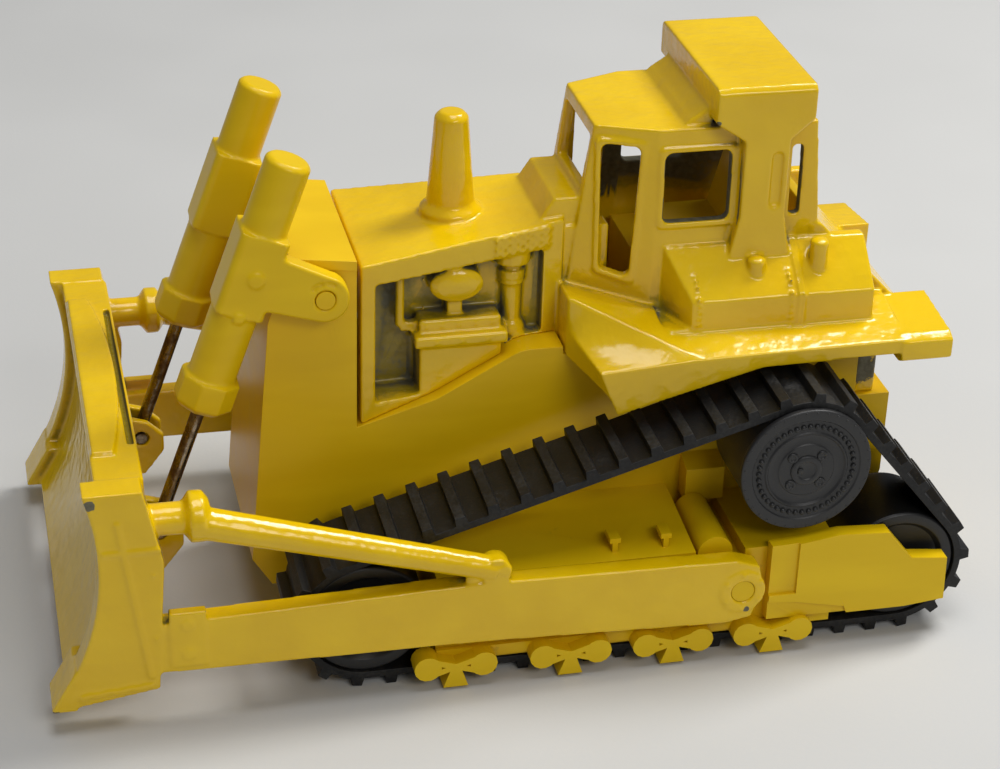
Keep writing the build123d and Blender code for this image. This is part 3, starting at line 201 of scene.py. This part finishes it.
def moulded_plastic(name, warm):
    """Half-matt yellow plastic with flow marks, a slight grain and painted shade in its hollows."""
    resin = Finish(name, {"IOR": 1.48, "Specular IOR Level": 0.32, "Subsurface Weight": 0.06,
                          "Subsurface Radius": (0.0016, 0.0009, 0.0002)})
    deep = resin.measure("recess")
    flow = resin.grain(7.0, 2.0, stretch=(0.35, 1.0, 1.6))
    fine = resin.grain(0.35, 3.0)
    color = resin.mix(flow.between(0.35, 0.7), rgb(0.78, 0.515 - warm, 0.002), rgb(0.83, 0.56 - warm, 0.004))
    # Painted shade: the plastic turns darker orange where the form is deep.
    color = resin.mix(deep.between(0.3, 0.95) * 0.55, color, rgb(0.60, 0.345, 0.001))
    dust = (resin.grain(1.6, 5.0) - 0.62).between(0.0, 0.14) * deep.between(0.25, 0.6)
    color = resin.mix(dust * 0.35, color, rgb(0.24, 0.16, 0.03))
    return resin.surface(color, 0.30 + (flow - 0.5) * 0.16 + fine * 0.08 + dust * 0.2,
                         height=fine * 0.35 + resin.grain(3.0, 1.0) * 0.8, depth=0.025)


def black_rubber():
    """Soft rubber, greyer where it stands out: dust, with painted shade in its hollows and a painted sheen
    along its edges.
    """
    rubber = Finish("track_rubber", {"IOR": 1.45, "Specular IOR Level": 0.35})
    deep = rubber.measure("recess")
    crown = rubber.measure("crown")
    fine = rubber.grain(0.4, 4.0)
    cloud = rubber.grain(5.0, 3.0)
    # Lighter grey away from the hollows and along the crowns: dust, painted shade in the hollows and a
    # painted sheen on the edges.
    dust = ((1 - deep) * 0.5 + crown * 0.5 + (fine - 0.5) * 0.9 + (cloud - 0.5) * 0.8).between(0.35, 0.95)
    color = rubber.mix(dust, rgb(0.0075, 0.0075, 0.0078), rgb(0.036, 0.036, 0.035))
    lint = (rubber.grain(0.28, 2.0) - 0.70).between(0.0, 0.05)
    color = rubber.mix(lint * 0.5, color, rgb(0.10, 0.10, 0.095))
    return rubber.surface(color, 0.46 + dust * 0.22 + (fine - 0.5) * 0.12, height=fine, depth=0.03)


def dark_plastic(name, base, light):
    """Dark moulded wheel plastic with a dull sheen and grey dust."""
    wheel = Finish(name, {"IOR": 1.48, "Specular IOR Level": 0.5})
    deep = wheel.measure("recess")
    fine = wheel.grain(0.3, 3.0)
    cloud = wheel.grain(4.0, 3.0)
    dust = (deep * 0.6 + (cloud - 0.5) * 1.1 + (fine - 0.5) * 0.5).between(0.15, 0.75)
    color = wheel.mix(dust * 0.7, rgb(base, base, base * 1.03), rgb(light, light, light * 0.96))
    return wheel.surface(color, 0.36 + dust * 0.2 + fine * 0.08, height=fine, depth=0.02)


def tarnished_wire():
    """Plain steel wire, drawn lengthways and gone brown in patches."""
    steel = Finish("rod_steel", {"Metallic": 1.0})
    streak = steel.grain(0.5, 3.0, stretch=(1.0, 1.0, 0.08))
    patch = (steel.grain(2.2, 4.0) + (streak - 0.5) * 0.4).between(0.42, 0.62)
    color = steel.mix(streak.between(0.3, 0.7), rgb(0.26, 0.21, 0.15), rgb(0.40, 0.34, 0.27))
    color = steel.mix(patch * 0.8, color, rgb(0.10, 0.052, 0.022))
    return steel.surface(color, 0.24 + patch * 0.26, height=streak, depth=0.02)


def paper_floor():
    sheet = Finish("paper_floor", {"Specular IOR Level": 0.2})
    tint = sheet.mix(sheet.grain(60.0, 2.0).between(0.3, 0.7),
                     rgb(0.60, 0.60, 0.585), rgb(0.625, 0.625, 0.61))
    return sheet.surface(tint, 0.75 + (sheet.grain(0.8, 3.0) - 0.5) * 0.1,
                         height=sheet.grain(0.6, 3.0), depth=0.02)


enamel_body = poured_enamel("enamel_body", [((-47.8, 11.6, 31.0), 5.0), ((-25.6, 12.4, 67.6), 0.6)])
enamel_blade = poured_enamel("enamel_blade", [((53.6, 30.2, 32.4), 1.2), ((59.2, 30.2, 3.0), 1.5),
                                              ((57.6, 30.2, 2.8), 1.0), ((-28.2, 30.0, 8.0), 0.9)])
plastic_base = moulded_plastic("plastic_base", 0.02)
plastic_parts = moulded_plastic("plastic_parts", 0.0)
rubber = black_rubber()
sprocket_plastic = dark_plastic("sprocket_plastic", 0.020, 0.046)
idler_plastic = dark_plastic("idler_plastic", 0.009, 0.024)
rod_wire = tarnished_wire()


# Forms

def casting_mesh(node):
    """A welded copy of a CAD node's mesh whose flat faces are whole again."""
    form = bmesh.new()
    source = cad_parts[node].data
    corners = [form.verts.new(corner.co) for corner in source.vertices]
    for face in source.polygons:
        ring = [corners[i] for i in face.vertices]
        if len(set(ring)) == len(ring):
            try:
                form.faces.new(ring)
            except ValueError:
                pass
    bmesh.ops.remove_doubles(form, verts=form.verts[:], dist=2e-6)
    bmesh.ops.dissolve_degenerate(form, edges=form.edges[:], dist=1e-6)
    bmesh.ops.dissolve_limit(form, angle_limit=radians(0.6), verts=form.verts[:], edges=form.edges[:])
    return form


def lathe(form, profile, centre, sign=1, steps=72):
    """Turns a profile of (radius, y) round an axle through centre; sign mirrors it to the other side."""
    rings = []
    for radius, y in profile:
        if radius < 1e-6:
            rings.append([form.verts.new(at(centre[0], sign * y, centre[1]))])
            continue
        rings.append([
            form.verts.new(at(centre[0] + radius * cos(2 * pi * i / steps), sign * y,
                              centre[1] + radius * sin(2 * pi * i / steps)))
            for i in range(steps)
        ])
    for low, high in zip(rings, rings[1:]):
        for i in range(steps):
            j = (i + 1) % steps
            ring = [low[i % len(low)], low[j % len(low)], high[j % len(high)], high[i % len(high)]]
            form.faces.new(list(dict.fromkeys(ring)))


def bead(form, place, radius, squash=(1, 1, 1), level=2):
    matrix = Matrix.Translation(at(*place)) @ Matrix.Diagonal((*squash, 1))
    bmesh.ops.create_icosphere(form, subdivisions=level, radius=radius * mm, matrix=matrix)


def drum(form, start, end, radius, sides=20, tip=None):
    """A short round bar between two points, with a smaller far end if tip is given."""
    start, end = at(*start), at(*end)
    axis = end - start
    turn = axis.to_track_quat("Z", "Y").to_matrix().to_4x4()
    bmesh.ops.create_cone(
        form, cap_ends=True, segments=sides,
        radius1=radius * mm, radius2=(radius if tip is None else tip) * mm,
        depth=axis.length, matrix=Matrix.Translation((start + end) / 2) @ turn)


def block(form, low, high):
    size = [(b - a) * mm for a, b in zip(low, high)]
    middle = [(a + b) / 2 for a, b in zip(low, high)]
    bmesh.ops.create_cube(form, size=1, matrix=Matrix.Translation(at(*middle)) @ Matrix.Diagonal((*size, 1)))


def recesses(mesh, rays, reach):
    """Stores how deep each point lies in the form, and how much it stands out along an edge."""
    count = len(mesh.vertices)
    near = [[] for _ in range(count)]
    for edge in mesh.edges:
        a, b = edge.vertices
        near[a].append(b)
        near[b].append(a)
    points = [v.co.copy() for v in mesh.vertices]
    normals = [v.normal.copy() for v in mesh.vertices]
    tree = BVHTree.FromPolygons(points, [f.vertices for f in mesh.polygons])
    golden = pi * (3 - 5 ** 0.5)
    fan = []
    for i in range(rays):
        rise = ((i + 0.5) / rays) ** 0.5
        out = (1 - rise * rise) ** 0.5
        fan.append(Vector((out * cos(golden * i), out * sin(golden * i), rise)))
    deep = mesh.attributes.new("recess", "FLOAT", "POINT")
    crown = mesh.attributes.new("crown", "FLOAT", "POINT")
    for i, (point, normal) in enumerate(zip(points, normals)):
        if normal.length < 0.5:
            continue
        basis = normal.to_track_quat("Z", "Y").to_matrix()
        start = point + normal * 0.00015
        hits = 0.0
        for ray in fan:
            distance = tree.ray_cast(start, basis @ ray, reach * mm)[3]
            if distance is not None:
                hits += 1 - 0.5 * distance / (reach * mm)
        deep.data[i].value = min(1.0, 1.35 * hits / rays)
        if near[i]:
            middle = sum((points[j] for j in near[i]), Vector()) / len(near[i])
            spread = max((points[j] - point).length for j in near[i]) or 1.0
            crown.data[i].value = max(0.0, min(1.5, (point - middle).dot(normal) / spread * 4))


def inside(mesh, low, high):
    """Marks as deep every point that faces the middle of a hollow and sees it freely."""
    low, high = at(*low), at(*high)
    tree = BVHTree.FromPolygons([v.co for v in mesh.vertices], [f.vertices for f in mesh.polygons])
    deep = mesh.attributes["recess"]
    middle = (low + high) / 2
    for i, vertex in enumerate(mesh.vertices):
        point = vertex.co
        if not all(low[k] < point[k] < high[k] for k in range(3)):
            continue
        for along in (-eye_step, 0.0, eye_step):
            path = Vector((middle.x + along, middle.y, min(max(point.z, eye_low_z), eye_high_z))) - point
            start = point + vertex.normal * 0.0003
            free = tree.ray_cast(start, path.normalized(), path.length)[0] is None
            if free and path.dot(vertex.normal) > 0:
                deep.data[i].value = max(deep.data[i].value, hidden_depth)


def settle(piece):
    """Applies the piece's modifiers to its mesh."""
    shape = bpy.data.meshes.new_from_object(piece.evaluated_get(bpy.context.evaluated_depsgraph_get()))
    piece.modifiers.clear()
    piece.data = shape


def show(form, name, node, body, material):
    """Makes the piece that stands in for a CAD node and rides its body."""
    mesh = bpy.data.meshes.new(name)
    form.to_mesh(mesh)
    form.free()
    piece = bpy.data.objects.new(name, mesh)
    bpy.context.scene.collection.objects.link(piece)
    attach(piece, body)
    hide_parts(node)
    piece.data.materials.append(material)
    return piece


def smooth_all(piece):
    for face in piece.data.polygons:
        face.use_smooth = True


def repaint(piece, material):
    piece.data.materials.clear()
    piece.data.materials.append(material)


def poured(piece, voxel, rounds, most_faces):
    """Remeshes a casting so that its edges and joints look pooled and rounded by the enamel."""
    skin = piece.modifiers.new("skin", "REMESH")
    skin.mode = "VOXEL"
    skin.voxel_size = voxel * mm
    flow = piece.modifiers.new("flow", "SMOOTH")
    flow.factor = 0.5
    flow.iterations = rounds
    settle(piece)
    triangles = 2 * len(piece.data.polygons)
    if triangles > most_faces:
        thin = piece.modifiers.new("thin", "DECIMATE")
        thin.ratio = most_faces / triangles
        settle(piece)
    smooth_all(piece)


def softened(piece, width, segments=2, angle=28):
    """Rounds the mould's edges."""
    soft = piece.modifiers.new("soft", "BEVEL")
    soft.width = width * mm
    soft.segments = segments
    soft.limit_method = "ANGLE"
    soft.angle_limit = radians(angle)
    soft.use_clamp_overlap = True
    soft.harden_normals = False
    settle(piece)
    smooth_all(piece)
    even = piece.modifiers.new("even", "WEIGHTED_NORMAL")
    even.keep_sharp = False
    settle(piece)


# Enamelled castings

def hood_side(along, below, side, out=0.0):
    """A point off the hood's side, so far ahead of its rear edge and so far below its top edge."""
    return (-8.0 + along, side * (7.6 + 0.155 * along + out), 53.9 - 0.095 * along - below)


def body_details(form):
    """Tank beads, domes, dots, the hood's lattice, and a block behind the slot before the cab."""
    for side in (1, -1):
        for x in (-23.5, -35.7):
            for i in range(6):
                bead(form, (x, side * 16.4, 41.4 + 0.85 * i), 0.36, level=1)
            for i in range(8):
                bead(form, (x, side * (15.4 - 0.75 * i), 46.9 + 0.42 * i), 0.32, level=1)
        for x, top in ((-31.6, 49.4), (-39.8, 51.3)):
            bead(form, (x, side * 13.4, top - 0.2), 1.15, (1, 1, 0.55))
        for z in (43.9, 47.9):
            bead(form, (10.2, side * 9.2, z), 0.35, level=1)
        for x in (2.2, 5.4, 8.6):
            bead(form, (x, side * 10.85, 39.7), 0.32, level=1)
        for i in range(5):
            bead(form, (1.4 + 2.1 * i, side * 9.55, 41.4), 0.28, level=1)
        bead(form, (5.9, side * 8.9, 46.7), 2.6, (1.35, 0.4, 0.92), 3)
        for start in range(-3, 9):
            for way in (1, -1):
                ends = sorted((way * (-1.0 - start), way * (5.0 - start)))
                low, high = max(-0.4, ends[0]), min(2.2, ends[1])
                if high - low > 0.3:
                    drum(form, *[hood_side(3.1 + 1.2 * (start + way * t), 0.7 + 1.1 * t, side, 0.3)
                                 for t in (low, high)], 0.2, 6)
        drum(form, (-1.7, side * 6.3, 38.6), (-1.7, side * 6.3, 39.4), 2.0)
        low_y, high_y = sorted((side * 4.0, side * 7.0))
        block(form, (-14.0, low_y, 36.0), (-8.3, high_y, 52.6))


def blade_details(form):
    """Bolts on the arms' plates, bumps round their rear pins, bosses on the arms and dots on the caps."""
    for side in (1, -1):
        for x, z in ((42.8, 14.4), (42.8, 10.2)):
            drum(form, (x, side * 29.8, z), (x, side * 30.35, z), 0.95, 6, 0.8)
        for turn in range(6):
            angle = pi / 6 + turn * pi / 3
            x, z = arm_pin[0] + bump_ring_r * cos(angle), arm_pin[1] + bump_ring_r * sin(angle)
            bead(form, (x, side * 30.05, z), 0.42, level=1)
        drum(form, (3.6, side * 29.6, 17.5), (3.6, side * 30.15, 17.5), 1.0, tip=0.7)
        bead(form, (7.5, side * 29.2, 16.2), 0.7, (1.6, 0.8, 0.6))
        for z in (13.0, 22.0):
            bead(form, (46.6, side * 30.05, z), 0.35, level=1)


body_form = casting_mesh("body_casting")
body_details(body_form)
body = show(body_form, "body_enamel", "body_casting", "machine", enamel_body)
poured(body, casting_voxel, 7, 190000)
repaint(body, enamel_body)
recesses(body.data, 18, 9.0)
# The cab's inside counts as deep, so the enamel there turns dull zinc: bare metal and painted shade.
inside(body.data, *cab_hollow)

blade_form = casting_mesh("blade_frame")
blade_details(blade_form)
blade = show(blade_form, "blade_enamel", "blade_frame", "blade", enamel_blade)
poured(blade, casting_voxel, 6, 170000)
repaint(blade, enamel_blade)
recesses(blade.data, 14, 7.0)


# Plastic mouldings

def moulded(node, name, body_name, width, material, flow=None):
    piece = show(casting_mesh(node), name, node, body_name, material)
    if flow:
        poured(piece, flow, 4, 60000)
        repaint(piece, material)
    else:
        softened(piece, width)
    recesses(piece.data, 10, 8.0)


moulded("chassis", "base_moulding", "machine", 0.35, plastic_base)
for side, sign in (("left", 1), ("right", -1)):
    moulded(f"track_frame_{side}", f"track_frame_moulding_{side}", "machine", 0.28, plastic_parts)
    moulded(f"lift_cylinder_{side}", f"lift_cylinder_moulding_{side}", f"cylinder_{side}", 0.3,
            plastic_parts, flow=0.22)
    moulded(f"track_{side}", f"track_belt_{side}", "machine", 0.16, rubber)


# Wheels, turned like the mould's inserts

def wheel_places(node):
    low, high = (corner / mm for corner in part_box(node))
    return (low.x + high.x) / 2, (low.z + high.z) / 2, max(high.y, -low.y)


def ring_places(x, z, radius, count, first):
    """Evenly spaced places on a ring round an axle; first is in steps from the level."""
    turns = [2 * pi * (i + first) / count for i in range(count)]
    return [(x + radius * cos(turn), z + radius * sin(turn)) for turn in turns]


def sprocket_form(node, sign):
    x, z, outer = wheel_places(node)
    face = outer - 0.35
    form = bmesh.new()
    lathe(form, [
        (0, 12.0), (2.4, 12.0), (2.4, 15.65), (8.1, 15.7), (8.3, 15.9), (8.3, face - 0.95),
        (8.45, face - 0.9), (8.6, face - 0.75), (8.6, face - 0.15), (8.45, face), (7.2, face),
        (7.05, face - 0.22), (5.5, face - 0.22), (5.35, face), (5.2, face), (5.0, face - 0.3),
        (3.75, face - 0.3), (3.6, face - 0.12), (0, face - 0.12),
    ], (x, z), sign)
    for px, pz in ring_places(x, z, sprocket_bead_ring_r, sprocket_beads, 0):
        bead(form, (px, sign * (face - 0.2), pz), 0.36, (1, 1.1, 1))
    for px, pz in ring_places(x, z, rim_notch_ring_r, rim_notches, 0.5):
        drum(form, (px, sign * (face - 0.4), pz), (px, sign * (face + 0.06), pz), 0.16, 8)
    lathe(form, [(0, face - 0.3), (2.1, face - 0.3), (2.1, face + 0.02), (1.95, face + 0.14),
                 (1.35, face + 0.14), (1.2, face - 0.02), (0, face - 0.02)], (x, z), sign, 48)
    for lobe in ring_places(x, z, hub_lobe_ring_r, hub_lobes, 0.5):
        lathe(form, [(0, face - 0.3), (0.72, face - 0.3), (0.72, face), (0.6, face + 0.12),
                     (0.38, face + 0.12), (0.3, face), (0, face)], lobe, sign, 24)
    block(form, (x + 0.5, sign * face - 0.15, z - 0.35), (x + 1.15, sign * face + 0.2, z + 0.35))
    return form


def idler_form(node, sign):
    x, z, outer = wheel_places(node)
    form = bmesh.new()
    lathe(form, [
        (0, 12.0), (2.4, 12.0), (2.4, 15.65), (7.5, 15.65), (7.7, 15.85), (7.7, outer - 0.3), (7.4, outer),
        (6.3, outer), (6.05, outer - 0.2), (5.6, outer - 0.7), (4.2, outer - 0.75), (2.1, outer - 0.65),
        (2.0, outer - 0.15), (1.8, outer), (0, outer),
    ], (x, z), sign)
    return form


for side, sign in (("left", 1), ("right", -1)):
    turned = [(f"sprocket_{side}", "sprocket_wheel", sprocket_form, sprocket_plastic)]
    turned += [(f"{place}_idler_{side}", f"{place}_idler_wheel", idler_form, idler_plastic)
               for place in ("front", "rear")]
    for node, name, make, material in turned:
        form = make(node, sign)
        bmesh.ops.recalc_face_normals(form, faces=form.faces[:])
        wheel = show(form, f"{name}_{side}", node, "machine", material)
        softened(wheel, 0.05, 1, 40)
        recesses(wheel.data, 8, 5.0)
    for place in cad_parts[f"lift_rod_{side}"].material_slots:
        place.material = rod_wire


# Floor, light and camera

form = bmesh.new()
bmesh.ops.create_grid(form, x_segments=8, y_segments=8, size=2.0)
floor_mesh = bpy.data.meshes.new("floor")
form.to_mesh(floor_mesh)
form.free()
floor = bpy.data.objects.new("floor", floor_mesh)
floor.location.z = -0.00005
bpy.context.scene.collection.objects.link(floor)
floor.data.materials.append(paper_floor())

focus = at(-2.25, 0, 26.8)


def softbox(name, place, width, height, power, color):
    light = bpy.data.lights.new(name, "AREA")
    light.shape = "RECTANGLE"
    light.size, light.size_y = width, height
    light.energy = power
    light.color = color
    lamp = bpy.data.objects.new(name, light)
    bpy.context.scene.collection.objects.link(lamp)
    lamp.location = place
    lamp.rotation_euler = (focus - Vector(place)).to_track_quat("-Z", "Y").to_euler()


softbox("window", (-0.30, -0.10, 0.50), 0.16, 0.22, 2.1, (1.0, 0.99, 0.97))
softbox("room", (-0.20, 0.65, 0.55), 0.4, 0.20, 1.5, (1.0, 0.98, 0.95))
softbox("ceiling", (-0.02, 0.08, 0.80), 0.35, 0.35, 1.9, (0.98, 0.98, 1.0))

world = bpy.data.worlds.new("studio")
world.use_nodes = True
bpy.context.scene.world = world
world.node_tree.nodes["Background"].inputs[0].default_value = rgb(0.86, 0.88, 0.92)
world.node_tree.nodes["Background"].inputs[1].default_value = 0.20

azimuth, elevation, roll, distance = radians(13.71), radians(28.96), radians(1.82), 0.3206
back = Vector((sin(azimuth) * cos(elevation), cos(azimuth) * cos(elevation), sin(elevation)))
right = Vector((0, 0, 1)).cross(back).normalized()
up = back.cross(right)
right, up = cos(roll) * right + sin(roll) * up, cos(roll) * up - sin(roll) * right
lens = bpy.data.cameras.new("camera")
lens.sensor_width = lens_width
lens.lens = lens_width * focal_pixels / picture_width
camera = bpy.data.objects.new("camera", lens)
bpy.context.scene.collection.objects.link(camera)
camera.matrix_world = Matrix((
    (right.x, up.x, back.x, focus.x + back.x * distance),
    (right.y, up.y, back.y, focus.y + back.y * distance),
    (right.z, up.z, back.z, focus.z + back.z * distance),
    (0, 0, 0, 1),
))
bpy.context.scene.camera = camera
bpy.context.scene.view_settings.view_transform = "Standard"
